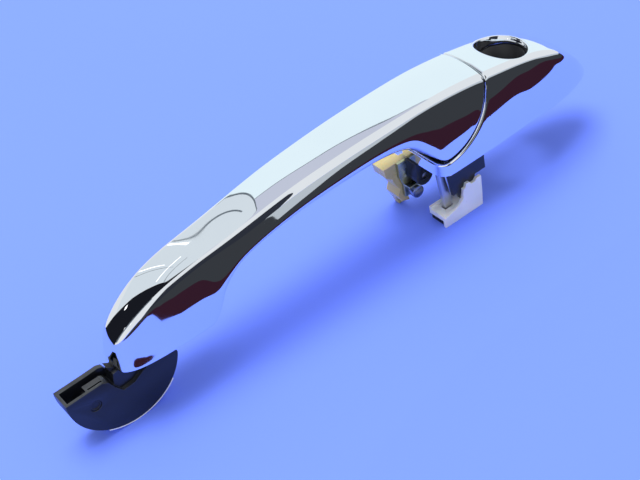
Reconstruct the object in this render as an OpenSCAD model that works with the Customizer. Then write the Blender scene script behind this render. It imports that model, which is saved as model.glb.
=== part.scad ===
// Chrome pull-type exterior door handle: a swinging grip and a fixed end cap with a key opening.
// Origin: key axis where it meets the door skin. +X towards the cap's tail, +Z away from the door.

/* [Overall] */
// From the key axis forward to the grip's nose
nose_reach = 202; // [180:1:260]
// From the key axis back to the cap's tail
tail_reach = 44; // [38:1:56]
// Height of the crease line at the middle of the grip
grip_height = 37.8; // [34:0.2:48]
// Half the width of the cap at the door skin
base_half = 15.4; // [14.4:0.1:20]

/* [Grip] */
// Wall of the plated shells
shell_wall = 2.0; // [1.4:0.1:2.6]
// Length of the front foot that sits on the door
front_foot = 40; // [34:1:46]
// Height of the finger gap above the door skin
arch_height = 25.8; // [22:0.2:28]
// Thickness of the plated back plate
back_wall = 2.2; // [1.6:0.1:3]
// Half the width of the nylon beam inside the grip
core_half = 5.6; // [4.5:0.1:6.5]

/* [Seam between grip and cap] */
// Distance from the key axis forward to the seam on the top face
seam_reach = 22; // [19:0.5:25]
// Distance from the key axis forward to the lowest point of the grip's rear foot
toe_reach = 46; // [42:0.5:50]
// Height of the grip's rear foot above the door skin
toe_height = 8; // [7:0.2:10]
// Open gap between grip and cap on the side faces
seam_gap = 0.8; // [0.6:0.1:1.2]
// Open gap between the grip's rear foot and the cap's cradle
cradle_gap = 1.7; // [1.2:0.1:2.4]

/* [Cap] */
// Wall of the cap's shell
cap_wall = 2.2; // [1.8:0.1:2.8]
// How far the cap's cradle lip stands in front of the toe
lip_step = 3.5; // [3:0.1:5]
// Height of the cradle lip above the door skin
lip_height = 5.8; // [4.5:0.1:6.3]
// Plan radius of the cradle's front corners
lip_corner = 6; // [4:0.5:8]
// Radius of the key opening's bore
key_r = 10; // [9:0.1:11]
// Wall of the lock tunnel
tunnel_wall = 1.3; // [1:0.1:1.6]
// How far the lock tunnel reaches behind the door skin
tunnel_drop = 3; // [2:0.5:6]
// Tilt of the key opening's chrome ring, degrees
bezel_tilt = 11; // [0:0.5:14]

/* [Front pivot] */
// Radius of the half-moon hook
hook_r = 24; // [20:0.2:27]
// Half the thickness of the half-moon hook
hook_half = 5; // [4.5:0.1:7]
// Distance from the nose back to the pivot axis
pivot_inset = 1.5; // [0:0.5:6]
// Depth of the pivot axis behind the door skin
pivot_drop = 3.4; // [2:0.2:6]
// Wall of the hook's open pocket
pocket_wall = 1.3; // [1:0.1:1.8]

/* [Rear legs] */
// Depth of the legs' feet behind the door skin
leg_drop = 28; // [24:0.5:36]
// Length of the white shoe along the handle
shoe_len = 21; // [17:0.5:22]
// Width of the white shoe across the handle
shoe_width = 10; // [8:0.2:10.5]
// Thickness of the steel pull blade
blade_t = 2.4; // [1.8:0.1:3]
// Radius of the steel pins and screws in the legs
pin_r = 1.5; // [1.2:0.1:1.8]
// Running clearance between a pin and its hole
pin_clear = 0.05; // [0.03:0.01:0.08]

/* [Cap fastening] */
// Radius of the threaded hole for the door-edge screw
tail_hole_r = 2.1; // [1.6:0.1:2.6]
// Length of the brass nut for the door-edge screw
tail_nut_len = 9; // [7:0.5:11]

/* [Hidden] */
$fn = 48;
nose_x = -nose_reach;
tail_x = tail_reach;
seam_x = -seam_reach;
toe_x = -toe_reach;
lip_x = toe_x - lip_step;
foot_x = nose_x + front_foot;
seam_top = 34;
eps = 0.02;
chrome = [0.86, 0.88, 0.9];
black = [0.07, 0.07, 0.09];
steel = [0.7, 0.71, 0.73];
rubber = [0.12, 0.12, 0.12];

// ---- curves -------------------------------------------------------------------------------
function mix(a, b, t) = a + (b - a) * t;
function bound(v, lo, hi) = max(lo, min(hi, v));
function knot_slope(t, i) =
    let (a = max(i - 1, 0), b = min(i + 1, len(t) - 1)) (t[b][1] - t[a][1]) / (t[b][0] - t[a][0]);
function span_of(t, x, i = 0) = i >= len(t) - 2 || x < t[i + 1][0] ? i : span_of(t, x, i + 1);
// Smooth curve through the knots of a table of [position, value]
function curve(t, x) =
    let (c = bound(x, t[0][0], t[len(t) - 1][0]), i = span_of(t, c), h = t[i + 1][0] - t[i][0],
        s = (c - t[i][0]) / h, m0 = knot_slope(t, i) * h, m1 = knot_slope(t, i + 1) * h)
    (2 * s ^ 3 - 3 * s ^ 2 + 1) * t[i][1] + (s ^ 3 - 2 * s ^ 2 + s) * m0
        + (3 * s ^ 2 - 2 * s ^ 3) * t[i + 1][1] + (s ^ 3 - s ^ 2) * m1;
// A place along the handle, 0 at the nose and 1 at the tail
function along(f) = mix(nose_x, tail_x, f);
function rows(t, scale) = [for (k = t) [along(k[0]), k[1] * scale]];

// Height of the crease between top face and side face
crease_rows = rows([[0, 0.12], [0.012, 0.3], [0.049, 0.5], [0.089, 0.63], [0.138, 0.72], [0.211, 0.79],
    [0.341, 0.925], [0.435, 0.974], [0.5, 0.993], [0.602, 1], [0.667, 0.985], [0.732, 0.935],
    [0.801, 0.86], [0.85, 0.785], [0.89, 0.68], [0.931, 0.5], [0.967, 0.26], [1, 0.02]], grip_height);
// Half the width at the crease
crease_half_rows = rows([[0, 0.1], [0.012, 0.32], [0.049, 0.5], [0.089, 0.59], [0.138, 0.64], [0.211, 0.66],
    [0.341, 0.72], [0.435, 0.77], [0.5, 0.8], [0.602, 0.835], [0.732, 0.86], [0.801, 0.86],
    [0.85, 0.845], [0.89, 0.82], [0.931, 0.75], [0.967, 0.56], [1, 0.04]], base_half);
// Half the width at the widest line of the side face
waist_rows = rows([[0, 0.2], [0.012, 0.52], [0.049, 0.68], [0.089, 0.75], [0.138, 0.8], [0.211, 0.815],
    [0.341, 0.84], [0.435, 0.87], [0.5, 0.895], [0.602, 0.925], [0.667, 0.95], [0.732, 0.965]], base_half);
function crease_z(x) = curve(crease_rows, x);
function crease_half(x) = curve(crease_half_rows, x);
function crown(x) = 0.12 * crease_half(x);
// Half the width at the door skin: a rounded tail behind the key opening, a rounded nose in front
function tail_close(x) = x < 0 ? 1 : (1 - min(x / tail_x, 1) ^ 2.3) ^ (1 / 2.3);
function nose_close(x) = x > foot_x ? 1 : (1 - ((foot_x - x) / front_foot) ^ 4) ^ (1 / 4);
function base_at(x) = x > toe_x
    ? base_half * mix(1, 0.96, bound((x - seam_x) / seam_reach, 0, 1)) * tail_close(x)
    : base_half * 0.83 * nose_close(x);
function waist_at(x) = x > seam_x ? mix(crease_half(x), base_at(x), 0.72) : curve(waist_rows, x);
function waist_z(x) = x > seam_x ? 0.56 * crease_z(x) : 0.56 * crease_z(seam_x);
// Half the width of the side face at height z, behind the toe
function flank(x, z) =
    z > waist_z(x) ? mix(waist_at(x), crease_half(x), (z - waist_z(x)) / (crease_z(x) - waist_z(x)))
    : mix(base_at(x), waist_at(x), max(z, 0) / waist_z(x));

// The seam seen from the side is a quarter ellipse under the grip's rear foot
function seam_z(x) =
    let (t = bound((x - toe_x) / (seam_x - toe_x), 0, 1))
    seam_top - (seam_top - toe_height) * sqrt(1 - t * t);
arch_rows = [[foot_x, 0], [foot_x + 3.6, 4.2], [foot_x + 8.4, 12], [foot_x + 19, arch_height - 6],
    [foot_x + 42, arch_height - 1.3], [mix(foot_x, toe_x, 0.6), arch_height],
    [toe_x - 28, arch_height - 0.7], [toe_x - 16, mix(toe_height, arch_height, 0.76)],
    [toe_x - 6, toe_height + 4.6], [toe_x - 1.6, toe_height + 0.7], [toe_x, toe_height]];
function under_z(x) = x <= foot_x ? 0 : x < toe_x ? curve(arch_rows, x) : seam_z(x);

// ---- lofted shapes ------------------------------------------------------------------------
function bend(a, p, b, fa, fb, n) =
    let (s = mix(p, a, fa), e = mix(p, b, fb))
    [for (k = [0:n]) let (t = k / n) (1 - t) ^ 2 * s + 2 * t * (1 - t) * p + t ^ 2 * e];
function share(a, b, r, most) = min(most, r / max(norm(a - b), 0.01));
// One closed cross-section from its corner heights and half widths, as [y, z] points
function ring(top, cr, w1, z1, w2, z2, w3, z3, r_crease, r_low) =
    let (t = [0, top + cr], c = [w1, z1], m = [w2, z2], l = [w3, z3], b = [0, z3],
        half = concat(bend(b, l, m, share(l, b, r_low, 0.45), share(l, m, r_low, 0.45), 4),
            bend(l, m, c, 0.45, 0.4, 3),
            bend(m, c, t, share(c, m, r_crease, 0.5), share(c, t, r_crease, 0.2), 4)),
        arc = bend(c, t, [-w1, z1], 0.72, 0.72, 6))
    concat(half, arc, [for (k = [len(half) - 1:-1:0]) [-half[k][0], half[k][1]]]);
module loft(xs, rings) {
    n = len(rings[0]);
    last = len(xs) - 1;
    pts = [for (k = [0:last]) for (p = rings[k]) [xs[k], p[0], p[1]]];
    sides = [for (k = [0:last - 1]) for (j = [0:n - 1])
        let (a = k * n + j, b = k * n + (j + 1) % n)
        each [[a, a + n, b], [b, a + n, b + n]]];
    polyhedron(points = pts, convexity = 6,
        faces = concat([[for (j = [0:n - 1]) j]], sides, [[for (j = [n - 1:-1:0]) last * n + j]]));
}
function steps(a, b, n) = [for (k = [0:n - 1]) mix(a, b, k / n)];
function ease_in(a, b, n) = [for (k = [0:n - 1]) mix(a, b, 1 - cos(90 * k / n))];
function ease_out(a, b, n) = [for (k = [0:n - 1]) mix(a, b, sin(90 * k / n))];

function grip_ring(x, w, cut) =
    let (rear = x > toe_x, zl = under_z(x), top = crease_z(x) - w, lift = max(top - zl, 1),
        zw = rear ? max(waist_z(x), mix(zl, top, 0.3)) : mix(zl, top, 0.3),
        foot = bound((x - foot_x) / 16, 0, 1), toe = bound((toe_x - x) / 14, 0, 1),
        low = rear ? flank(x, zl) : mix(flank(x, zl), mix(base_at(x), base_half * 0.82, foot), toe),
        w3 = low - w, w2 = (rear ? flank(x, zw) : waist_at(x)) - w)
    ring(top, 2 * crown(x), max(crease_half(x) - w, 0.5), max(top, zl + 0.6),
        max(w2, 0.7), max(zw, zl + 0.3), max(w3, 0.6), cut ? zl - 1 : zl,
        2.6, cut ? 0.2 : rear || x < foot_x ? 0.4 : 3);
grip_end = seam_x - 0.02;
grip_xs = concat(ease_in(nose_x, nose_x + 12, 9), steps(nose_x + 12, foot_x - 1, 5),
    steps(foot_x - 1, foot_x + 20, 9), steps(foot_x + 20, toe_x - 28, 7),
    steps(toe_x - 28, toe_x, 10), ease_out(toe_x, grip_end, 12), [grip_end]);
hollow_xs = concat(ease_in(nose_x + shell_wall, nose_x + 14, 6), steps(nose_x + 14, foot_x - 1, 4),
    steps(foot_x - 1, foot_x + 20, 8), steps(foot_x + 20, toe_x - 28, 6), steps(toe_x - 28, toe_x, 8),
    ease_out(toe_x, grip_end - 0.1, 10), [grip_end - 0.1]);

function cap_edge(x) = x < toe_x ? lip_height
    : max(lip_height, seam_top - (seam_top - toe_height + cradle_gap)
        * sqrt(1 - min((x - toe_x) / (seam_x + seam_gap - toe_x), 1) ^ 2));
function corner_half(x) = x > lip_x + lip_corner ? base_half
    : base_half - lip_corner + sqrt(max(lip_corner ^ 2 - (lip_x + lip_corner - x) ^ 2, 0));
function cap_ring(x, w, open) =
    let (front = x < cap_front + (w > 0 ? 2 * eps : 0), ze = cap_edge(x),
        b = min(base_at(max(x, toe_x + 0.1)), corner_half(x)) - w, z0 = w > 0 ? -1 : 0)
    front ? let (c = min(flank(max(x, toe_x + 0.1), ze), corner_half(x)) - w, top = ze + open,
        m = max(mix(b, c, 0.5), 0.5))
        ring(top, 0, max(c, 0.5), top, m, ze / 2, max(b, 0.5), z0, 0.3, 0.3)
    : ring(crease_z(x) - w, 2 * crown(x), max(crease_half(x) - w, 0.5), max(crease_z(x) - w, 0.4 - w),
        max(waist_at(x) - w, 0.5), max(waist_z(x) - w, 0.2 - w), max(b, 0.5), z0,
        mix(2.4, 9, bound((x - 6) / 30, 0, 1)), 0.3);
cap_front = seam_x + seam_gap;
cap_xs = concat(ease_in(lip_x, lip_x + lip_corner, 5), steps(lip_x + lip_corner, toe_x + 12, 3),
    ease_out(toe_x + 12, cap_front - eps, 8), [cap_front - eps, cap_front + eps],
    steps(cap_front + 2, tail_x * 0.6, 9), ease_out(tail_x * 0.6, tail_x - 0.1, 9), [tail_x - 0.1]);
cap_hollow_xs = concat(ease_in(lip_x + cap_wall, lip_x + lip_corner, 4),
    steps(lip_x + lip_corner, toe_x + 12, 3), ease_out(toe_x + 12, cap_front, 7),
    [cap_front + eps, cap_front + 3 * eps],
    steps(cap_front + 2, tail_x * 0.6, 7), ease_out(tail_x * 0.6, tail_x - 2.5 * cap_wall, 6),
    [tail_x - 2.5 * cap_wall]);

module grip_outer_shell() color(chrome) difference() {
    loft(grip_xs, [for (x = grip_xs) grip_ring(x, 0, false)]);
    loft(hollow_xs, [for (x = hollow_xs) grip_ring(x, shell_wall, true)]);
}
// ---- prisms: an outline drawn in the side view, or in the end view --------------------------
module side(y0, y1) translate([0, y1, 0]) rotate([90, 0, 0]) linear_extrude(y1 - y0) children();
module across(x0, x1) translate([x0, 0, 0]) rotate([90, 0, 90]) linear_extrude(x1 - x0) children();
module pin_y(x, z, y0, y1, r) translate([x, y1, z]) rotate([90, 0, 0]) cylinder(r = r, h = y1 - y0);
module box(a, b) translate(a) cube(b - a);
// Outline of the cap or the front foot in plan, drawn in by an inset; a piece of some height also
// keeps clear of the side face where that leans in
function plan_half(x, inset, top) = min(base_at(x) - inset, flank(x, top) - inset + 0.2);
module plan(x0, x1, inset, top = 0, n = 16) polygon(concat(
    [for (k = [0:n]) let (x = mix(x0, x1, sin(90 * k / n))) [x, plan_half(x, inset, top)]],
    [for (k = [n:-1:0]) let (x = mix(x0, x1, sin(90 * k / n))) [x, -plan_half(x, inset, top)]]));

// Cap body: places shared by its pieces
tunnel_r = key_r + tunnel_wall;
cap_top = crease_z(0) + crown(0);
bezel_foot = cap_top - 6.5;
gasket_t = 1.35;
plate_z = gasket_t + 0.05;
plate_t = 2.2;
fit_inset = cap_wall + 0.35;
throat_x = cap_front + 0.4;
throat_t = 0.9;
tail_in = tail_x - 14.5;
post_r = 2.7;
post_screw_r = 1.4;
head_r = 2.4;
tail_post_x = tail_x * 0.48;
posts = [for (sx = [[seam_x + 7.5, tunnel_r + post_r - 5.4],
    [tail_post_x, base_at(tail_post_x) - fit_inset - post_r]], sy = [-1, 1]) [sx[0], sy * sx[1]]];
door_x0 = lip_x + cap_wall;
gap_y = 1.2;
arm_x0 = toe_x - 0.3;
arm_x1 = seam_x - 1.4;
arm_y0 = -(base_half - cap_wall - 1.6);

module post_holes(z, r, h) for (p = posts) translate([p[0], p[1], z]) cylinder(r = r, h = h, $fn = 32);

module cap_shell() color(chrome) difference() {
    union() {
        difference() {
            loft(cap_xs, [for (x = cap_xs) cap_ring(x, 0, 0)]);
            loft(cap_hollow_xs, [for (x = cap_hollow_xs) cap_ring(x, cap_wall, 4)]);
        }
        for (p = posts) translate([p[0], p[1], plate_z + plate_t + 0.1])
            cylinder(r = post_r, h = crease_z(p[0]) - cap_wall - plate_z - plate_t + 0.6, $fn = 24);
    }
    translate([0, 0, bezel_foot - 12]) cylinder(r = tunnel_r + 0.7, h = 60, $fn = 48);
    for (p = posts) translate([p[0], p[1], 0]) cylinder(r = post_screw_r + 0.1, h = 14, $fn = 24);
}
module key_bezel() color(chrome) difference() {
    translate([0, 0, bezel_foot]) cylinder(r = tunnel_r + 0.6, h = 10);
    translate([0, 0, bezel_foot - 1]) cylinder(r = key_r + 0.4, h = 20);
    translate([0, 0, cap_top - 4]) cylinder(r1 = key_r + 0.4, r2 = key_r + 2.6, h = 7.5);
    translate([0, 0, cap_top - 0.3]) rotate([0, bezel_tilt, 0]) translate([-30, -30, 0]) cube([60, 60, 20]);
}
module lock_tunnel() color(black) difference() {
    union() {
        translate([0, 0, -tunnel_drop]) cylinder(r = tunnel_r, h = bezel_foot + tunnel_drop - 0.05);
        translate([0, 0, plate_z + plate_t + 0.05]) cylinder(r = tunnel_r + 0.9, h = 1.5);
    }
    translate([0, 0, -tunnel_drop - 1]) cylinder(r = key_r, h = 60);
    translate([0, 0, -tunnel_drop - 1]) box([-1.6, key_r - 1, 0], [1.6, key_r + 3, 4]);
}
lug_y0 = gap_y + 0.4;
lug_y1 = lug_y0 + 6.8;
lug_x = toe_x - 0.2;
lug_r = 4.4;
lug_z = -leg_drop * 0.3;
boss_x0 = tunnel_r + 3.2;
boss_half = tail_hole_r + 2.4;
boss_y = 1.2;
boss_z = -(boss_half + 0.3);
nut_x0 = boss_x0 + 2;
nut_r = tail_hole_r + 1.3;
module cap_carrier() color(black) difference() {
    union() {
        translate([0, 0, plate_z]) linear_extrude(plate_t) union() {
            plan(throat_x + throat_t + 0.1, tail_in, fit_inset, plate_z + plate_t);
            polygon([[door_x0 + 0.5, gap_y], [throat_x + throat_t + 0.2, gap_y],
                [throat_x + throat_t + 0.2, base_half - fit_inset - 0.2],
                [toe_x + 3, base_half - fit_inset - 0.2], [door_x0 + 0.5, base_half - fit_inset - 3]]);
        }
        across(throat_x + throat_t + 0.1, throat_x + throat_t + 1.8) union() {
            throat_outline(0.45);
            translate([-base_half + fit_inset + 1, plate_z])
                square([2 * (base_half - fit_inset - 1), plate_t + 1]);
        }
        box([boss_x0, boss_y - boss_half, boss_z - boss_half],
            [nut_x0 + tail_nut_len + 0.5, boss_y + boss_half, plate_z + 0.5]);
        pin_y(lug_x, lug_z, lug_y0, lug_y1, lug_r);
        box([lug_x - lug_r + 0.4, lug_y0, lug_z], [lug_x + lug_r, lug_y1, -0.4]);
        box([door_x0 + 0.5, lug_y0, lug_z], [lug_x + lug_r, lug_y1, plate_z + 0.5]);
    }
    translate([0, 0, -10]) cylinder(r = tunnel_r + 0.05, h = 60);
    post_holes(-1, post_screw_r + 0.1, 6);
    post_holes(-1, head_r + 0.1, 1 + plate_z + 0.5);
    translate([nut_x0, boss_y, boss_z]) rotate([0, 90, 0]) cylinder(r = nut_r + 0.03, h = 60);
    pin_y(lug_x, lug_z, lug_y0 - 1, lug_y1 + 1, pin_r);
}
module throat_outline(inset) polygon(let (x = throat_x, w = cap_wall + inset,
    r = [[base_at(x) - w, plate_z + plate_t + 0.05], [waist_at(x) - w, waist_z(x)],
        [crease_half(x) - w - 0.3, crease_z(x) - w - 1.4], [crease_half(x) * 0.62, crease_z(x) - w - 0.1]])
    concat(r, [for (k = [3:-1:0]) [-r[k][0], r[k][1]]]));
module throat_gasket() color(rubber) across(throat_x, throat_x + throat_t) difference() {
    throat_outline(0.55);
    translate([0, waist_z(throat_x) * 0.9]) square([base_half, waist_z(throat_x)], center = true);
}
module cap_base_gasket() color(rubber) difference() {
    linear_extrude(gasket_t) plan(throat_x + throat_t + 0.1, tail_in + 1.5, fit_inset);
    translate([0, 0, -1]) cylinder(r = tunnel_r + 0.6, h = 5);
    box([boss_x0 - 0.6, boss_y - boss_half - 0.5, -1],
        [nut_x0 + tail_nut_len + 1.1, boss_y + boss_half + 0.5, 3]);
    post_holes(-1, head_r + 0.5, 5);
}
module carrier_screws() color(steel) for (p = posts) translate([p[0], p[1], 0]) difference() {
    union() {
        translate([0, 0, 0.3]) cylinder(r = head_r, h = plate_z + 0.45 - 0.3, $fn = 32);
        translate([0, 0, 1]) cylinder(r = post_screw_r, h = 10.5, $fn = 32);
    }
    for (a = [0, 90]) rotate(a) translate([-1.3, -0.3, 0]) cube([2.6, 0.6, 0.9]);
}
module tail_nut() color("goldenrod") difference() {
    translate([nut_x0, boss_y, boss_z]) rotate([0, 90, 0]) cylinder(r = nut_r, h = tail_nut_len);
    translate([nut_x0 - 1, boss_y, boss_z]) rotate([0, 90, 0])
        cylinder(r = tail_hole_r, h = tail_nut_len + 2);
}
// Retaining clip on the far side of the cap
plate_y = lug_y1 + 0.1;
strip_t = 1.6;
wedge_y = plate_y + strip_t + 0.1;
wedge_t = 8;
foot_z = -leg_drop;
barrel_r = leg_drop * 0.105;
barrel_z = lug_z - lug_r - barrel_r - 1.2;
module clip_plate() color("darkkhaki") difference() {
    union() {
        side(plate_y, plate_y + strip_t) polygon([[lug_x - 8, -1.4], [lug_x + 4.6, -1.4],
            [lug_x + 4.6, lug_z - 2], [lug_x + 1, barrel_z + barrel_r + 0.4],
            [lug_x + 1, barrel_z - barrel_r],
            [lug_x - 6.4, barrel_z - barrel_r], [lug_x - 6.4, lug_z - 5], [lug_x - 8, lug_z]]);
        box([lug_x - 6.2, lug_y1 - 3.4, lug_z - lug_r - 0.95],
            [lug_x + 0.6, plate_y + 0.2, lug_z - lug_r - 0.15]);
    }
    pin_y(lug_x, lug_z, plate_y - 1, plate_y + strip_t + 1, pin_r + pin_clear);
    pin_y(lug_x - 2.6, barrel_z, plate_y - 1, plate_y + strip_t + 1, pin_r + pin_clear);
}
module clip_wedge() color("cornsilk") difference() {
    union() {
        side(wedge_y, wedge_y + wedge_t) polygon([[lug_x - 14.5, -1.4], [lug_x - 3.6, -1.4],
            [lug_x - 3.2, lug_z - 4], [lug_x - 4.4, foot_z + 9], [lug_x - 3.4, foot_z + 4],
            [lug_x - 7.6, foot_z + 5.5], [lug_x - 9.2, foot_z + 9.2], [lug_x - 7.8, foot_z + 12.4],
            [lug_x - 10, foot_z + 16.5], [lug_x - 10.8, foot_z + 19.4], [lug_x - 13.6, foot_z + 21.6]]);
        side(wedge_y + 5.2, wedge_y + wedge_t) polygon([[lug_x - 7.6, foot_z + 6],
            [lug_x - 3.4, foot_z + 5], [lug_x - 2.4, foot_z], [lug_x - 5.6, foot_z]]);
        side(wedge_y, wedge_y + 3.4) polygon([[lug_x - 4, -1.4], [lug_x + 3, -1.4],
            [lug_x + 3, lug_z - 3.2], [lug_x - 4, lug_z - 3.2]]);
    }
    pin_y(lug_x, lug_z, wedge_y - 1, wedge_y + wedge_t + 1, pin_r + pin_clear);
}
module clip_screw() color(steel) difference() {
    union() {
        pin_y(lug_x, lug_z, lug_y0 + 0.5, wedge_y + 3.45, pin_r);
        pin_y(lug_x, lug_z, wedge_y + 3.45, wedge_y + 5, 2 * pin_r - 0.1);
    }
    pin_y(lug_x, lug_z, wedge_y + 4.2, wedge_y + 6, 0.8 * pin_r);
}
module clip_barrel() color(steel) union() {
    pin_y(lug_x - 2.6, barrel_z, lug_y0 + 2.4, plate_y - 0.05, barrel_r);
    pin_y(lug_x - 2.6, barrel_z, plate_y - 0.1, plate_y + strip_t, pin_r);
}

// ---- grip body ----------------------------------------------------------------------------
function plate_top(x) = min(max(under_z(x) + back_wall, under_z(x - back_wall), under_z(x + back_wall)),
    crease_z(x) - shell_wall - 0.4);
function plate_half(x) = let (foot = bound((x - foot_x) / 16, 0, 1), toe = bound((toe_x - x) / 14, 0, 1))
    (x > toe_x ? flank(x, under_z(x))
        : mix(flank(x, under_z(x)), mix(base_at(x), base_half * 0.82, foot), toe))
        - shell_wall - 0.28;
module grip_back_plate() color(chrome) let (xs = concat(steps(foot_x - 0.6, foot_x + 20, 9),
    steps(foot_x + 20, toe_x - 28, 6), steps(toe_x - 28, toe_x, 9),
    ease_out(toe_x, grip_end - 0.6, 10), [grip_end - 0.6])) difference() {
    loft(xs, [for (x = xs) let (h = plate_half(x), a = under_z(x), b = max(plate_top(x), a + 0.4),
            i = min(b - a, 0.8), k = x > toe_x ? min(h, flank(x, b + 1.5) - shell_wall - 0.7) : h)
        [[-h + i, a], [h - i, a], [h, a + i / 2], [k, b], [0, b], [-k, b], [-h, a + i / 2]]]);
    arm_screw_holes(1.7);
}
arm_screw_x = [mix(arm_x0, arm_x1, 0.52), mix(arm_x0, arm_x1, 0.8)];
arm_screw_y = arm_y0 + 8.6;
module arm_screw_holes(r) for (x = arm_screw_x)
    translate([x, arm_screw_y, -2]) cylinder(r = r, h = 60, $fn = 32);
core_x0 = nose_x + 15;
core_x1 = seam_x - 5;
foot_flange_z = 1.7;
foot_flange_t = 2.8;
module grip_core() color(black) difference() {
    side(-core_half, core_half) polygon(concat(
        [for (x = [core_x0:(core_x1 - core_x0) / 44:core_x1 + 0.01]) [x, crease_z(x) - shell_wall - 0.4]],
        [for (x = [core_x1:-(core_x1 - core_x0) / 44:core_x0 - 0.01])
            [x, max(plate_top(x - 1.5), plate_top(x), plate_top(x + 1.5),
                foot_flange_z + foot_flange_t) + 0.2]]));
    arm_screw_holes(1.52);
    for (y = hook_screw_y) translate([hook_screw_x, y, 0]) cylinder(r = 1.52, h = 14, $fn = 32);
}
// Front pivot
pivot_x = nose_x + pivot_inset;
pivot_z = -pivot_drop;
strip_h = leg_drop - hook_r - pivot_drop;
hook_screw_x = pivot_x + hook_r + 4;
hook_screw_y = [-3.4, 3.4];
neck_half = 3.2;
flange_x1 = foot_x - 3.5;
function arc(r, a0, a1, n) = [for (k = [0:n]) let (a = mix(a0, a1, k / n))
    [pivot_x + r * cos(a), pivot_z + r * sin(a)]];
pocket_x0 = pivot_x - hook_r + pocket_wall;
pocket_x1 = pivot_x - 6.6;
pocket_z = pivot_z - hook_r * 0.4;
rim_t = 2.1;
ledge_x = pocket_x0 + 8.2;
plug_x = pivot_x - hook_r * 0.56;
plug_z = pivot_z - hook_r * 0.25;
plug_r = 2.5;
module pivot_hook() color(black) difference() {
    union() {
        side(-hook_half, hook_half) polygon(concat(arc(hook_r, 176, 347, 40),
            [[pivot_x + hook_r * 0.9, pivot_z + 0.9], [pivot_x + 8, pivot_z - 4],
            [pivot_x + 3.5, pivot_z - 6.6],
            [pivot_x - 1.5, pivot_z - 7], [pivot_x - 4.4, pivot_z - 3], [pivot_x - 6, pivot_z + 0.6],
            [pivot_x - 8.5, pivot_z + 2]]));
        side(-neck_half, neck_half) polygon([[pivot_x - 4.6, pivot_z - 10],
            [pivot_x + hook_r * 0.8, pivot_z - 10],
            [pivot_x + hook_r * 0.8, foot_flange_z + 0.5], [pivot_x + 2.4, foot_flange_z + 0.5],
            [pivot_x + 2.4, -0.9], [pivot_x - 2.6, -2.2], [pivot_x - 3.4, -5]]);
        box([pivot_x + 5, -neck_half - 2.4, foot_flange_z],
            [flange_x1, neck_half + 2.4, foot_flange_z + foot_flange_t]);
        side(hook_half - rim_t, hook_half) polygon([[pivot_x - 12, pivot_z + 1.9],
            [pivot_x - 5.6, pivot_z + 2.2], [pivot_x - 3.6, pivot_z + 1.4],
            [pivot_x - 2.2, pivot_z - 1.4], [pivot_x - 0.6, pivot_z - 6], [pivot_x - 12, pivot_z - 6]]);
    }
    // the deep open end, the groove along the far rim, and the ledge with its slot
    box([pocket_x0, -hook_half + pocket_wall, pocket_z], [ledge_x, hook_half - rim_t, 2]);
    box([ledge_x - 0.1, 0.4, pocket_z + 3], [pocket_x1 + 1.6, hook_half - rim_t, 2]);
    box([ledge_x - 0.1, -hook_half + pocket_wall, pivot_z + 1.1], [pocket_x1 - 0.8, 0.5, 2]);
    box([ledge_x + 1, -hook_half + pocket_wall, pivot_z - 2.6],
        [pocket_x1 - 1, -hook_half + pocket_wall + 1.5, 2]);
    pin_y(plug_x, plug_z, -hook_half - 1, hook_half + 1, plug_r);
    for (y = hook_screw_y) translate([hook_screw_x, y, 0]) cylinder(r = 1.6, h = 14, $fn = 32);
}
module hook_plug() color(black) difference() {
    pin_y(plug_x, plug_z, -hook_half + 0.3, hook_half - 0.3, plug_r - 0.02);
    pin_y(plug_x, plug_z, -hook_half, -hook_half + 0.7, plug_r - 0.8);
}
module hook_wear_strip() color("white") side(-hook_half, hook_half - 0.7)
    polygon(concat(arc(hook_r + 0.02, 240, 318, 24), arc(hook_r + strip_h, 318, 240, 24)));
module hook_screws() color(steel) for (y = hook_screw_y) translate([hook_screw_x, y, 0]) union() {
    translate([0, 0, foot_flange_z - 1.45]) cylinder(r = head_r, h = 1.4, $fn = 32);
    translate([0, 0, foot_flange_z - 0.2]) cylinder(r = 1.5, h = 11, $fn = 32);
}
fin_half = 1.7;
module nose_gasket() color(rubber) difference() {
    union() {
        linear_extrude(foot_flange_z - 0.05) plan(foot_x - 1.4, nose_x + 3.8, shell_wall + 1.15);
        side(-fin_half, fin_half) polygon([[nose_x + 4.2, 0.4], [nose_x + 0.2, -0.5],
            [nose_x - 2.2, 1.1], [nose_x - 1.5, -1.7], [nose_x + 3, -0.95], [nose_x + 4.2, -0.3]]);
        box([nose_x + 2.6, -neck_half - 1.4, -0.8], [nose_x + 4.4, neck_half + 1.4, 0.5]);
    }
    box([pivot_x + 1.9, -neck_half - 0.2, -4], [pivot_x + hook_r * 0.8 + 0.2, neck_half + 0.2, 4]);
    for (y = hook_screw_y) translate([hook_screw_x, y, -1]) cylinder(r = head_r + 0.3, h = 4, $fn = 32);
}
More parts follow.
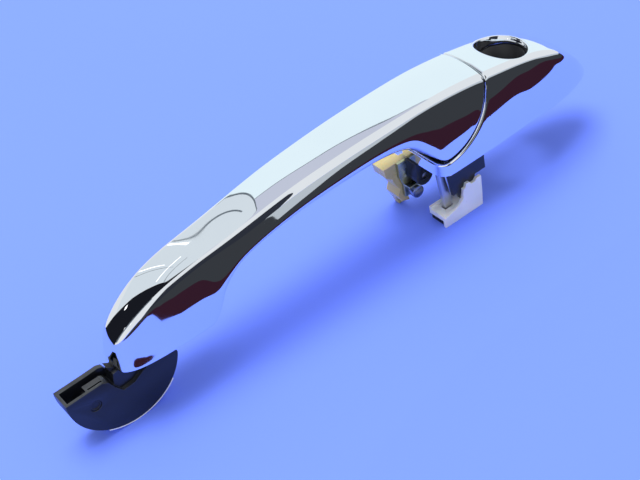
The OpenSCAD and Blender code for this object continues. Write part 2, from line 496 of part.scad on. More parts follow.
// Pull arm, blade and shoe under the grip's rear foot
skirt_y = arm_y0 + 1;
skirt_t = 1.6;
blade_y = skirt_y + skirt_t + 1.4;
shoe_x0 = toe_x - 3;
shoe_x1 = shoe_x0 + shoe_len;
shoe_far_y = skirt_y - 1.5 + shoe_width;
slab_z = foot_z + 3;
slab_t = 2.4;
shoe_pin_x = shoe_x1 - 5;
shoe_pin_z = foot_z * 0.56;
blade_foot = slab_z + 0.6;
module arm_top(y0, y1, z0) side(y0, y1) polygon(concat([[arm_x0, z0], [arm_x1, z0]],
    [for (k = [12:-1:0]) let (x = mix(arm_x0, arm_x1, sin(90 * k / 12)))
        [x, max(under_z(x) - 0.14, z0 + 1)]]));
module blade_outline() polygon([[arm_x0 + 0.4, 8], [arm_x0 + 8.4, 8], [arm_x0 + 8.4, 1],
    [arm_x0 + 2.4, 0.6],
    [arm_x0 + 3.4, foot_z * 0.25], [arm_x0 + 5.2, foot_z * 0.6], [arm_x0 + 5.6, blade_foot],
    [arm_x0 + 1.8, blade_foot], [arm_x0 + 1.2, foot_z * 0.5], [arm_x0 + 0.4, foot_z * 0.2]]);
module pull_arm() color(black) difference() {
    union() {
        arm_top(arm_y0 + 0.4, gap_y - 0.8, 1);
        side(skirt_y, skirt_y + skirt_t) polygon([[arm_x0 + 1.8, 2], [arm_x1, 2], [arm_x1, foot_z * 0.41],
            [shoe_x1 - 1.5, foot_z * 0.41], [shoe_x1 - 1.5, foot_z * 0.66],
            [shoe_pin_x - 3.6, foot_z * 0.66], [shoe_pin_x - 4.4, foot_z * 0.56],
            [shoe_pin_x - 5.6, foot_z * 0.68], [shoe_pin_x - 7, foot_z * 0.54],
            [shoe_pin_x - 9, foot_z * 0.56], [arm_x0 + 3.4, foot_z * 0.3]]);
    }
    arm_screw_holes(1.7);
    for (x = arm_screw_x) translate([x, arm_screw_y, 0]) cylinder(r = head_r + 0.15, h = 3.2, $fn = 32);
    side(blade_y - 0.04, blade_y + blade_t + 0.04) polygon([[arm_x0 + 0.3, 0], [arm_x0 + 8.5, 0],
        [arm_x0 + 8.5, 8.1], [arm_x0 + 0.3, 8.1]]);
    for (x = rivet_x) pin_y(x, rivet_z, arm_y0 - 1, gap_y + 1, pin_r);
    pin_y(shoe_pin_x, shoe_pin_z, arm_y0 - 1, gap_y, pin_r + pin_clear);
}
rivet_x = [arm_x0 + 2.6, arm_x0 + 6.4];
rivet_z = 4.2;
module pull_blade() color(steel) difference() {
    side(blade_y, blade_y + blade_t) blade_outline();
    for (x = rivet_x) pin_y(x, rivet_z, arm_y0 - 1, gap_y + 1, pin_r + pin_clear);
}
module blade_rivets() color(steel) for (x = rivet_x)
    pin_y(x, rivet_z, arm_y0 + 0.6, blade_y + blade_t + 3, pin_r - 0.02);
module arm_screws() color(steel) for (x = arm_screw_x) translate([x, arm_screw_y, 0]) union() {
    translate([0, 0, 1.5]) cylinder(r = head_r, h = 1.6, $fn = 32);
    translate([0, 0, 2.5]) cylinder(r = 1.5, h = under_z(x) + back_wall + 5, $fn = 32);
}
module arm_shoe() color("white") difference() {
    union() {
        side(skirt_y - 1.5, skirt_y - 0.1) polygon([[shoe_x0, foot_z], [shoe_x1, foot_z],
            [shoe_x1 + 0.5, foot_z * 0.7], [shoe_x1 + 0.6, foot_z * 0.45], [shoe_x1 - 1.9, foot_z * 0.45],
            [shoe_x1 - 2.9, foot_z * 0.49], [shoe_x1 - 5, foot_z * 0.49], [shoe_x1 - 5.8, foot_z * 0.44],
            [shoe_x1 - 7.6, foot_z * 0.43], [shoe_x1 - 8.4, foot_z * 0.5], [shoe_x1 - 9.6, foot_z * 0.5],
            [shoe_x1 - 9.9, foot_z * 0.66], [shoe_x1 - 12.6, foot_z * 0.75],
            [shoe_x0, slab_z + slab_t - 0.6]]);
        box([shoe_x0, skirt_y - 0.11, slab_z], [shoe_x1 - 0.3, shoe_far_y, slab_z + slab_t]);
        box([shoe_x1 - 3, skirt_y - 0.11, slab_z], [shoe_x1 - 0.3, shoe_far_y, foot_z * 0.7]);
        box([shoe_x0, shoe_far_y - 1.2, slab_z], [shoe_x1 - 0.3, shoe_far_y, slab_z + slab_t + 1.2]);
    }
    box([arm_x0 + 1.2, blade_y - 0.3, slab_z - 1], [arm_x0 + 6, blade_y + blade_t + 0.3, slab_z + 6]);
    pin_y(shoe_pin_x, shoe_pin_z, skirt_y - 0.9, skirt_y, pin_r + pin_clear);
}
module shoe_pin() color(steel) union() {
    pin_y(shoe_pin_x, shoe_pin_z, skirt_y - 0.8, skirt_y + skirt_t + 1.4, pin_r);
    pin_y(shoe_pin_x, shoe_pin_z, skirt_y + skirt_t + 0.1, skirt_y + skirt_t + 1.3, pin_r + 0.9);
}
module shoe_bumper() color(rubber) box([shoe_x0 + 0.6, skirt_y + 0.1, foot_z],
    [shoe_x1 - 0.6, skirt_y - 1.8 + shoe_width, slab_z - 0.03]);
module toe_buffers() color(rubber) for (y = [gap_y + 3.2, base_half - cap_wall - 4.4])
    translate([toe_x + 3, y, plate_z + plate_t + 0.5])
        cylinder(r = 2, h = under_z(toe_x + 3) - plate_z - plate_t - 0.75, $fn = 32);

cap_shell();
key_bezel();
lock_tunnel();
cap_carrier();
cap_base_gasket();
throat_gasket();
carrier_screws();
tail_nut();
clip_plate();
clip_wedge();
clip_screw();
clip_barrel();
grip_outer_shell();
grip_back_plate();
grip_core();
nose_gasket();
pivot_hook();
hook_plug();
hook_wear_strip();
hook_screws();
pull_arm();
pull_blade();
blade_rivets();
arm_screws();
arm_shoe();
shoe_pin();
shoe_bumper();
toe_buffers();
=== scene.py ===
# %% [markdown]
# # A chrome pull handle for a car door
# The handle is two chromed bodies on one line. The long arched grip swings outwards on a half-moon hook
# at its nose, and the short cap behind it stays on the door and holds the key opening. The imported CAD
# model is the fixed frame: it says where each body is, so every piece made here takes its place from it.

# %% Load the frame
import math

import bmesh
import bpy
from mathutils import Matrix, Vector
from mathutils.bvhtree import BVHTree


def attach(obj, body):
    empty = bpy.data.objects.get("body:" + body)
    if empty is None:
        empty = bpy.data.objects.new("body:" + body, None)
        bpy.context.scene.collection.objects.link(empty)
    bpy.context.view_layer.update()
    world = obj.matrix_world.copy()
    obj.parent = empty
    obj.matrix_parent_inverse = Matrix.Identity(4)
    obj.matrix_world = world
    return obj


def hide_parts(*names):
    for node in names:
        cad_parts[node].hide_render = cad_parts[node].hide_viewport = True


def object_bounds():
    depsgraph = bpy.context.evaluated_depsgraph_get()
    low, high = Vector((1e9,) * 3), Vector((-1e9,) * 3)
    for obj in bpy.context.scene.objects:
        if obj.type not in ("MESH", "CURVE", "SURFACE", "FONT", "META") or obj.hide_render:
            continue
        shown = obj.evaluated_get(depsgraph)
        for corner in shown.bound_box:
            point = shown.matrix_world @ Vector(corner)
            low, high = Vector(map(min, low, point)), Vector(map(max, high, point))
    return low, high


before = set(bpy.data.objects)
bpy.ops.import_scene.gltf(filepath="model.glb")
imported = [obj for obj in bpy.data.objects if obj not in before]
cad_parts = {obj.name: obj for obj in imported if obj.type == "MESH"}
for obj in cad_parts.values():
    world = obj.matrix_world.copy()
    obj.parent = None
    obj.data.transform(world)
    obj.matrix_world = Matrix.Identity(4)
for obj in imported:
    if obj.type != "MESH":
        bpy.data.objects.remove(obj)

cad_low, cad_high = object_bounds()

# %% [markdown]
# ## The measures
# The chromed skins are drawn again here at a finer step than the CAD facets, because a mirror shows
# every facet. So the handful of sizes that shape them is repeated, in millimetres, with X running back
# along the handle, Y across it and Z away from the door.

# %% The measures of the handle
MM = 0.001
NOSE, TAIL, SEAM, TOE = -202.0, 44.0, -22.0, -46.0
FOOT = NOSE + 40.0
HEIGHT, HALF = 37.8, 15.4
FOOT_HALF, ARCH_HALF = HALF * 0.83, HALF * 0.82
SEAM_TOP, TOE_Z, ARCH_Z = 34.0, 8.0, 25.8
SHELL_WALL, CAP_WALL, BACK_WALL = 2.0, 2.2, 2.2
SEAM_GAP, CRADLE_GAP = 0.8, 1.7
LIP, LIP_Z, LIP_CORNER = TOE - 3.5, 5.8, 6.0
CAP_FRONT, GRIP_END = SEAM + SEAM_GAP, SEAM - 0.02
# The width jumps at the toe, so whatever follows the cap's side is measured just behind it.
BEHIND_TOE, AT_TOE = TOE + 0.1, TOE + 0.01
TAIL_CUT = TAIL - 0.1
RIM_R = 11.5
FLOOR_Z = cad_low.z
print("grip", GRIP_END - NOSE, "mm, cap", TAIL - CAP_FRONT, "mm, floor at", round(FLOOR_Z, 4))

# %% [markdown]
# ## Fair curves
# A stylist draws such a handle with a few long curves: the crease between top and side, the widest line
# of the side, and the arch under the grip. Each is a table of heights or widths with a smooth curve
# through it. A mirror finish also shows where the bending of a curve jumps, so each table is faired:
# it is averaged over a few millimetres, and less near its ends, where the nose and tail turn quickly.


# %% Curves through a table, and their fairing
def mix(a, b, t):
    return a + (b - a) * t


def bound(value, low, high):
    return max(low, min(high, value))


def ease(t):
    t = bound(t, 0.0, 1.0)
    return t * t * (3 - 2 * t)


def smooth_step(s, a, slope_a, b, slope_b):
    """A cubic from a to b as s goes from 0 to 1, with these slopes at its ends."""
    return ((2 * s**3 - 3 * s**2 + 1) * a + (s**3 - 2 * s**2 + s) * slope_a
            + (3 * s**2 - 2 * s**3) * b + (s**3 - s**2) * slope_b)


def curve(table, x):
    """The height at x of the smooth curve through the table's knots."""
    x = bound(x, table[0][0], table[-1][0])
    i = next((k for k in range(len(table) - 2) if x < table[k + 1][0]), len(table) - 2)

    def slope(k):
        a, b = table[max(k - 1, 0)], table[min(k + 1, len(table) - 1)]
        return (b[1] - a[1]) / (b[0] - a[0])

    h = table[i + 1][0] - table[i][0]
    s = (x - table[i][0]) / h
    return smooth_step(s, table[i][1], slope(i) * h, table[i + 1][1], slope(i + 1) * h)


class Fair:
    """A table's curve, averaged over up to `spread` millimetres and kept as closely spaced samples."""

    step = 0.5

    def __init__(self, table, spread=5.0):
        self.low, high = table[0][0], table[-1][0]
        n = round((high - self.low) / self.step)
        raw = [curve(table, self.low + k * self.step) for k in range(n + 1)]
        self.values = []
        for k in range(n + 1):
            wide = min(spread, 0.35 * self.step * min(k, n - k))
            reach = int(2.2 * wide / self.step)
            near = range(-reach, reach + 1)
            weights = [math.exp(-0.5 * (d * self.step / max(wide, 0.01)) ** 2) for d in near]
            total = sum(w * raw[k + d] for w, d in zip(weights, near))
            self.values.append(total / sum(weights))

    def __call__(self, x):
        at = bound((x - self.low) / self.step, 0, len(self.values) - 1.001)
        k = int(at)
        before, after = self.values[max(k - 1, 0)], self.values[min(k + 2, len(self.values) - 1)]
        a, b = self.values[k], self.values[k + 1]
        return smooth_step(at - k, a, (b - before) / 2, b, (after - a) / 2)


def rows(table, scale):
    """Knots given as shares of the length and of a size, in millimetres."""
    return [(mix(NOSE, TAIL, f), v * scale) for f, v in table]


# %% The lines of the handle
crease_z = Fair(rows([
    (0, 0.12), (0.012, 0.3), (0.049, 0.5), (0.089, 0.63), (0.138, 0.72), (0.211, 0.79), (0.341, 0.925),
    (0.435, 0.974), (0.5, 0.993), (0.602, 1), (0.667, 0.985), (0.732, 0.935), (0.801, 0.86),
    (0.85, 0.785), (0.89, 0.68), (0.931, 0.5), (0.967, 0.26), (1, 0.02)], HEIGHT))
crease_half = Fair(rows([
    (0, 0.1), (0.012, 0.32), (0.049, 0.5), (0.089, 0.59), (0.138, 0.64), (0.211, 0.66), (0.341, 0.72),
    (0.435, 0.77), (0.5, 0.8), (0.602, 0.835), (0.732, 0.86), (0.801, 0.86), (0.85, 0.845),
    (0.89, 0.82), (0.931, 0.75), (0.967, 0.56), (1, 0.04)], HALF))
waist_line = Fair(rows([
    (0, 0.2), (0.012, 0.52), (0.049, 0.68), (0.089, 0.75), (0.138, 0.8), (0.211, 0.815), (0.341, 0.84),
    (0.435, 0.87), (0.5, 0.895), (0.602, 0.925), (0.667, 0.95), (0.732, 0.965), (0.801, 0.945),
    (0.85, 0.922)], HALF))
arch_line = [
    (FOOT, 0), (FOOT + 3.6, 4.2), (FOOT + 8.4, 12), (FOOT + 19, ARCH_Z - 6), (FOOT + 42, ARCH_Z - 1.3),
    (mix(FOOT, TOE, 0.6), ARCH_Z), (TOE - 28, ARCH_Z - 0.7), (TOE - 16, mix(TOE_Z, ARCH_Z, 0.76)),
    (TOE - 6, TOE_Z + 4.6), (TOE - 1.6, TOE_Z + 0.7), (TOE, TOE_Z)]


def crown(x):
    """How far the top's middle stands above a straight line between its creases."""
    return 0.12 * crease_half(x)


def base_half(x):
    """Half the width where the skin meets the door: rounded at the tail and at the nose."""
    if x > TOE:
        tail = 1.0 if x < 0 else (1 - min(x / TAIL, 1) ** 2.3) ** (1 / 2.3)
        return HALF * mix(1, 0.96, ease((x - SEAM) / 22)) * tail
    nose = 1.0 if x > FOOT else max(1 - ((FOOT - x) / (FOOT - NOSE)) ** 4, 0) ** 0.25
    return FOOT_HALF * nose


def waist_half(x):
    """Half the width at the side's widest line, which behind the seam blends into the cap's side."""
    behind = ease((x - SEAM) / 24)
    cap_side = mix(crease_half(x), base_half(max(x, BEHIND_TOE)), 0.72)
    return mix(waist_line(x), cap_side, behind)


def waist_z(x):
    return 0.56 * crease_z(max(x, SEAM))


def flank(x, z):
    """Half the width of the side face at height z."""
    if z > waist_z(x):
        return mix(waist_half(x), crease_half(x), (z - waist_z(x)) / (crease_z(x) - waist_z(x)))
    return mix(base_half(x), waist_half(x), max(z, 0) / waist_z(x))


def under_z(x):
    """The lowest line of the grip: its flat foot, the arch over the fingers, and the curved seam."""
    if x <= FOOT:
        return 0.0
    if x < TOE:
        return curve(arch_line, x)
    t = bound((x - TOE) / (SEAM - TOE), 0, 1)
    return SEAM_TOP - (SEAM_TOP - TOE_Z) * math.sqrt(1 - t * t)


print("crease at the middle", round(crease_z(-54), 2), "mm, arch", round(under_z(-100), 2), "mm")

# %% [markdown]
# ## Cross-sections
# Both skins are lofted. A cross-section is half of a mirrored outline: up the side from the lower edge,
# over the widest line, round the crease, and along the flat crown to the middle. The corners are short
# parabolas, as on a moulded part. Stations are packed where any of the lines turns steeply.


# %% Half an outline, and where to put the stations
def bend(a, p, b, from_a, to_b, n):
    """A corner at p between a and b, cut by a parabola, as n + 1 points."""
    s = [mix(p[k], a[k], from_a) for k in (0, 1)]
    e = [mix(p[k], b[k], to_b) for k in (0, 1)]
    return [
        tuple((1 - t) ** 2 * s[k] + 2 * t * (1 - t) * p[k] + t**2 * e[k] for k in (0, 1))
        for t in (j / n for j in range(n + 1))
    ]


def share(a, b, radius, most):
    """The share of the line from a to b that a corner of this radius takes, up to a limit."""
    return min(most, radius / max(math.dist(a, b), 0.01))


def half_outline(top, rise, crease, waist, low, r_crease, r_low):
    """Points (y, z) from the lower edge to the crown's middle; crease, waist and low are corners."""
    peak, under = (0.0, top + rise), (0.0, low[1])
    points = bend(under, low, waist, share(low, under, r_low, 0.45), share(low, waist, r_low, 0.45), 3)
    points += bend(low, waist, crease, 0.45, 0.4, 4)
    down_side, over_top = share(crease, waist, r_crease, 0.5), share(crease, peak, r_crease, 0.2)
    points += bend(waist, crease, peak, down_side, over_top, 4)
    far = (-crease[0], crease[1])
    return points + bend(crease, peak, far, 0.72, 0.72, 8)[:5]


def stations(a, b, step, *lines):
    """Places from a to b, evenly spaced along the drawn lines and so closer where one turns."""
    fine = 0.05
    n = round((b - a) / fine)
    run = [0.0]
    for k in range(n):
        x0, x1 = mix(a, b, k / n), mix(a, b, (k + 1) / n)
        run.append(run[-1] + math.hypot(x1 - x0, *[line(x1) - line(x0) for line in lines]))
    count = round(run[-1] / step)
    places, k = [a], 0
    for j in range(1, count):
        while run[k] < run[-1] * j / count:
            k += 1
        places.append(mix(a, b, k / n))
    return places + [b]


grip_stations = stations(NOSE, GRIP_END, 2.7, crease_z, waist_half, under_z)
cap_stations = stations(CAP_FRONT, TAIL_CUT, 2.4, crease_z, base_half)
print(len(grip_stations), "grip stations,", len(cap_stations), "cap stations")

# %% [markdown]
# ## Turning outlines into pieces
# A chromed skin is a moulding about two millimetres thick, so its section is a closed band: the outer
# outline, a thin rim, and the inner outline back again. The bands are joined with quads, and a
# subdivision surface then rounds them evenly, which a mirror needs. Edges that are sharp on the moulding
# get a high crease value, so that they stay crisp.


# %% Helpers that finish a mesh and place it on a body
SHARP_DEG = 48


def finish_piece(name, bm, material, body, stands_for=(), smooth_deg=35, levels=0):
    """Turns a bmesh in millimetres into an object that rides on a body and stands for CAD nodes."""
    bmesh.ops.recalc_face_normals(bm, faces=bm.faces)
    bmesh.ops.scale(bm, vec=(MM, MM, MM), verts=bm.verts)
    mesh = bpy.data.meshes.new(name)
    bm.to_mesh(mesh)
    bm.free()
    piece = bpy.data.objects.new(name, mesh)
    bpy.context.scene.collection.objects.link(piece)
    if levels:
        rounding = piece.modifiers.new("rounding", "SUBSURF")
        rounding.levels = rounding.render_levels = levels
        settle(piece)
    smooth(piece.data, smooth_deg)
    piece.data.materials.append(material)
    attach(piece, body)
    if stands_for:
        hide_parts(*stands_for)
    print(f"{name}: {len(piece.data.polygons)} faces, rides on {body}")
    return piece


def smooth(mesh, degrees):
    """Shades a mesh smoothly, apart from edges that turn more than this."""
    mesh.polygons.foreach_set("use_smooth", [True] * len(mesh.polygons))
    mesh.set_sharp_from_angle(angle=math.radians(degrees))


def settle(piece):
    """Keeps the result of a piece's modifiers as its own mesh."""
    bpy.context.view_layer.update()
    evaluated = piece.evaluated_get(bpy.context.evaluated_depsgraph_get())
    result = bpy.data.meshes.new_from_object(evaluated)
    piece.modifiers.clear()
    piece.data = result


def crease_sharp_edges(bm, value, keep_round=lambda middle: False):
    """Marks sharply turning edges as crisp, apart from those in a part that stays round."""
    bmesh.ops.recalc_face_normals(bm, faces=bm.faces)
    layer = bm.edges.layers.float.new("crease_edge")
    for edge in bm.edges:
        middle = (edge.verts[0].co + edge.verts[1].co) / 2
        sharp = len(edge.link_faces) == 2 and edge.calc_face_angle(0) > math.radians(SHARP_DEG)
        if sharp and not keep_round(middle):
            edge[layer] = value


def band(outer_half, inner_half):
    """The whole (y, z) outlines of a skin's outer and inner faces, from their halves."""
    def whole(half):
        return half + [(-y, z) for y, z in reversed(half[:-1])]
    return whole(outer_half), whole(inner_half)


def ladder(bm, ring):
    """Closes a mirrored outline by joining each point to its mirror point."""
    n = len(ring)
    for j in range(n // 2):
        face = [ring[j], ring[j + 1], ring[n - 2 - j], ring[n - 1 - j]]
        bm.faces.new(face if j + 1 < n - 2 - j else face[:2] + face[3:])


def strip(bm, first, second):
    """Quads between two rows of points."""
    for j in range(len(first) - 1):
        bm.faces.new([first[j], first[j + 1], second[j + 1], second[j]])


def join_skin(bm, outers, inners):
    """Joins each row of a skin to the next one, on both faces and along the two rims between them."""
    for k in range(len(outers) - 1):
        strip(bm, outers[k], outers[k + 1])
        strip(bm, inners[k], inners[k + 1])
        for j in (0, -1):
            bm.faces.new([outers[k][j], outers[k + 1][j], inners[k + 1][j], inners[k][j]])


# %% [markdown]
# ## Finishes
# Every finish is a Principled surface, with its changes over the surface worked out by shared node
# groups. Plated plastic is a mirror with a trace of waviness and haze; moulded nylon has a fine grain
# and pales along its edges; stamped steel is brushed one way. The groups are: haze, grain, brushing,
# rubbed edges and settled dust. Each puts out a mask, a value or a height, and the shader stays outside.


# %% Small helpers for nodes
def place(tree, kind, **values):
    """Adds a node with its own settings, such as an operation."""
    node = tree.nodes.new(kind)
    for key, value in values.items():
        setattr(node, key, value)
    return node


def start_group(name, inputs, outputs):
    """A node group with named number sockets, and its input and output nodes."""
    group = bpy.data.node_groups.new(name, "ShaderNodeTree")
    for label, default in inputs:
        socket = group.interface.new_socket(label, in_out="INPUT", socket_type="NodeSocketFloat")
        socket.default_value = default
    for label in outputs:
        group.interface.new_socket(label, in_out="OUTPUT", socket_type="NodeSocketFloat")
    return group, group.nodes.new("NodeGroupInput"), group.nodes.new("NodeGroupOutput")


def arithmetic(tree, operation, a, b, clamp=False):
    """A maths node whose two sides are each a socket or a number."""
    node = place(tree, "ShaderNodeMath", operation=operation, use_clamp=clamp)
    for side, value in zip(node.inputs, (a, b)):
        if isinstance(value, bpy.types.NodeSocket):
            tree.links.new(value, side)
        else:
            side.default_value = value
    return node.outputs[0]


def noise(tree, scale, detail=3.0, stretch=None):
    """Noise in the piece's own space, stretched if asked, as a 0 to 1 value."""
    where = tree.nodes.new("ShaderNodeTexCoord").outputs["Object"]
    if stretch:
        mapping = tree.nodes.new("ShaderNodeMapping")
        mapping.inputs["Scale"].default_value = stretch
        tree.links.new(where, mapping.inputs["Vector"])
        where = mapping.outputs["Vector"]
    node = tree.nodes.new("ShaderNodeTexNoise")
    node.inputs["Detail"].default_value = detail
    tree.links.new(where, node.inputs["Vector"])
    if isinstance(scale, bpy.types.NodeSocket):
        tree.links.new(scale, node.inputs["Scale"])
    else:
        node.inputs["Scale"].default_value = scale
    return node.outputs["Fac"]


# %% The shared groups
def build_haze():
    """Patchy haze left by handling: a roughness between two values."""
    group, into, out = start_group(
        "plating_haze", [("Scale", 40), ("Clear", 0.02), ("Hazy", 0.07)], ["Roughness"])
    patches = noise(group, into.outputs["Scale"], 5)
    spread = place(group, "ShaderNodeMapRange")
    spread.inputs["From Min"].default_value, spread.inputs["From Max"].default_value = 0.42, 0.72
    group.links.new(patches, spread.inputs["Value"])
    group.links.new(into.outputs["Clear"], spread.inputs["To Min"])
    group.links.new(into.outputs["Hazy"], spread.inputs["To Max"])
    group.links.new(spread.outputs["Result"], out.inputs["Roughness"])
    return group


def build_grain():
    """Moulded grain: a height for bump and a slow tone for colour."""
    group, into, out = start_group("moulded_grain", [("Scale", 2500)], ["Height", "Tone"])
    group.links.new(noise(group, into.outputs["Scale"], 2), out.inputs["Height"])
    group.links.new(noise(group, 90.0, 4), out.inputs["Tone"])
    return group


def build_brushing():
    """Streaks of rolled or brushed metal that run along X."""
    group, into, out = start_group(
        "brushed_streaks", [("Rough", 0.3), ("Depth", 0.15)], ["Height", "Roughness"])
    streaks = noise(group, 1.0, 4, stretch=(90, 3200, 3200))
    group.links.new(streaks, out.inputs["Height"])
    centred = arithmetic(group, "SUBTRACT", streaks, 0.5)
    swing = arithmetic(group, "MULTIPLY", centred, into.outputs["Depth"])
    rough = arithmetic(group, "ADD", swing, into.outputs["Rough"], clamp=True)
    group.links.new(rough, out.inputs["Roughness"])
    return group


def build_edges():
    """Rubbed edges: where a rounded normal leaves the true one, broken up by noise."""
    group, into, out = start_group("rubbed_edges", [("Width", 0.0006), ("Amount", 1.0)], ["Mask"])
    rounded = place(group, "ShaderNodeBevel", samples=4)
    group.links.new(into.outputs["Width"], rounded.inputs["Radius"])
    true = group.nodes.new("ShaderNodeNewGeometry")
    dot = place(group, "ShaderNodeVectorMath", operation="DOT_PRODUCT")
    group.links.new(rounded.outputs["Normal"], dot.inputs[0])
    group.links.new(true.outputs["Normal"], dot.inputs[1])
    apart = arithmetic(group, "SUBTRACT", 1.0, dot.outputs["Value"])
    turned = arithmetic(group, "MULTIPLY", apart, 6.0, clamp=True)
    broken = arithmetic(group, "MULTIPLY", turned, noise(group, 700.0, 3))
    mask = arithmetic(group, "MULTIPLY", broken, into.outputs["Amount"], clamp=True)
    group.links.new(mask, out.inputs["Mask"])
    return group


def build_dust():
    """Dust that settles on faces that look up."""
    group, into, out = start_group("settled_dust", [("Amount", 0.3)], ["Mask"])
    true = group.nodes.new("ShaderNodeNewGeometry")
    parts = group.nodes.new("ShaderNodeSeparateXYZ")
    group.links.new(true.outputs["Normal"], parts.inputs[0])
    facing = arithmetic(group, "POWER", arithmetic(group, "MAXIMUM", parts.outputs["Z"], 0.0), 3.0)
    specks = arithmetic(group, "MULTIPLY", facing, noise(group, 260.0, 6))
    mask = arithmetic(group, "MULTIPLY", specks, into.outputs["Amount"], clamp=True)
    group.links.new(mask, out.inputs["Mask"])
    return group


HAZE, GRAIN, BRUSHING = build_haze(), build_grain(), build_brushing()
EDGES, DUST = build_edges(), build_dust()
print("groups", [g.name for g in (HAZE, GRAIN, BRUSHING, EDGES, DUST)])


# %% What each material is put together from
def use(tree, group, **values):
    """Places a shared group with its own values; underscores in a name stand for spaces."""
    node = tree.nodes.new("ShaderNodeGroup")
    node.node_tree = group
    for key, value in values.items():
        node.inputs[key.replace("_", " ")].default_value = value
    return node


def surface(name, **values):
    """A material with one Principled surface whose even values are set on its own sockets."""
    material = bpy.data.materials.new(name)
    material.use_nodes = True
    shader = material.node_tree.nodes["Principled BSDF"]
    for key, value in values.items():
        shader.inputs[key.replace("_", " ")].default_value = value
    return material, material.node_tree, shader


# A Mix node keeps its number, vector and colour sockets side by side, so the colour ones are taken by
# place.
MIX_FACTOR, MIX_A, MIX_B, MIX_COLOUR = 0, 6, 7, 2


def blend_colour(tree, mask, first, second):
    """Mixes two colours, each three numbers or a socket, by a mask."""
    node = place(tree, "ShaderNodeMix", data_type="RGBA")
    tree.links.new(mask, node.inputs[MIX_FACTOR])
    for socket, value in ((node.inputs[MIX_A], first), (node.inputs[MIX_B], second)):
        if isinstance(value, bpy.types.NodeSocket):
            tree.links.new(value, socket)
        else:
            socket.default_value = (*value, 1)
    return node.outputs[MIX_COLOUR]


def bump(tree, shader, height, distance, strength=1.0):
    """Feeds a height into the shader's normal; distance is in metres."""
    node = tree.nodes.new("ShaderNodeBump")
    node.inputs["Distance"].default_value = distance
    node.inputs["Strength"].default_value = strength
    tree.links.new(height, node.inputs["Height"])
    tree.links.new(node.outputs["Normal"], shader.inputs["Normal"])


# %% [markdown]
# ### Bright plate
# Chrome over polished copper and nickel on a plastic moulding is nearly a perfect mirror. What gives it
# away as real is small: the moulding's faint waviness, a trace of haze, and a slightly duller rim.


# %% The chrome
def make_chrome():
    material, tree, shader = surface("bright_chrome", Metallic=1.0)
    haze = use(tree, HAZE, Scale=55, Clear=0.012, Hazy=0.045)
    rims = use(tree, EDGES, Width=0.0004, Amount=0.5)
    dull_rim = arithmetic(tree, "MULTIPLY", rims.outputs["Mask"], 0.12)
    rough = arithmetic(tree, "ADD", haze.outputs["Roughness"], dull_rim)
    tree.links.new(rough, shader.inputs["Roughness"])
    tone = blend_colour(tree, noise(tree, 30.0, 3), (0.90, 0.92, 0.94), (0.84, 0.865, 0.90))
    tree.links.new(tone, shader.inputs["Base Color"])
    bump(tree, shader, noise(tree, 45.0, 1), 0.00002, 0.35)
    return material


CHROME = make_chrome()
print("made", CHROME.name)

# %% [markdown]
# ### Plastics and rubbers
# The hook, frame and arm are black glass-filled nylon: dull, grainy, grey where the edges rub. The shoe
# and the wedge are acetal, a waxy plastic that lets a little light in. Gaskets and pads are soft rubber
# with no shine at all. One recipe makes them all, with different colours, grain and depth.


# %% The moulded plastics
def make_plastic(name, deep, rubbed, rough, grain, depth, dust=0.2, **values):
    """A moulded plastic: its colour, the colour of rubbed edges, and the grain's scale and depth."""
    material, tree, shader = surface(name, **values)
    texture = use(tree, GRAIN, Scale=grain)
    edges = use(tree, EDGES, Width=0.0005, Amount=0.9)
    settled = use(tree, DUST, Amount=dust)
    shade = tuple(0.78 * c for c in deep)
    body = blend_colour(tree, texture.outputs["Tone"], deep, shade)
    body = blend_colour(tree, edges.outputs["Mask"], body, rubbed)
    body = blend_colour(tree, settled.outputs["Mask"], body, tuple(mix(c, 0.5, 0.35) for c in rubbed))
    tree.links.new(body, shader.inputs["Base Color"])
    wide = arithmetic(tree, "MULTIPLY", texture.outputs["Tone"], 0.16)
    tree.links.new(arithmetic(tree, "ADD", wide, rough - 0.08), shader.inputs["Roughness"])
    bump(tree, shader, texture.outputs["Height"], depth, 0.6)
    return material


NYLON = make_plastic("black_nylon", (0.007, 0.008, 0.012), (0.05, 0.055, 0.062), 0.34, 2600, 0.00003)
TUNNEL_BLACK = make_plastic("tunnel_black", (0.006, 0.006, 0.008), (0.03, 0.03, 0.035), 0.45, 3400,
                            0.00002, 0.1)
CORE_BLACK = make_plastic("core_black", (0.012, 0.012, 0.013), (0.05, 0.05, 0.05), 0.5, 1800, 0.00004)
WHITE_ACETAL = make_plastic("white_acetal", (0.82, 0.83, 0.83), (0.92, 0.92, 0.92), 0.3, 1500,
                            0.00002, 0.1, Subsurface_Weight=0.12, Subsurface_Scale=0.002)
CREAM_ACETAL = make_plastic("cream_acetal", (0.64, 0.52, 0.21), (0.84, 0.76, 0.46), 0.28, 1500,
                            0.00002, 0.1, Subsurface_Weight=0.15, Subsurface_Scale=0.003)
SLIDE_TAPE = make_plastic("slide_tape", (0.78, 0.79, 0.80), (0.9, 0.9, 0.9), 0.22, 5000, 0.00001, 0.1)
SOFT_RUBBER = make_plastic("soft_rubber", (0.009, 0.009, 0.010), (0.05, 0.05, 0.052), 0.72, 1200,
                           0.00008)
print("plastics and rubbers made")
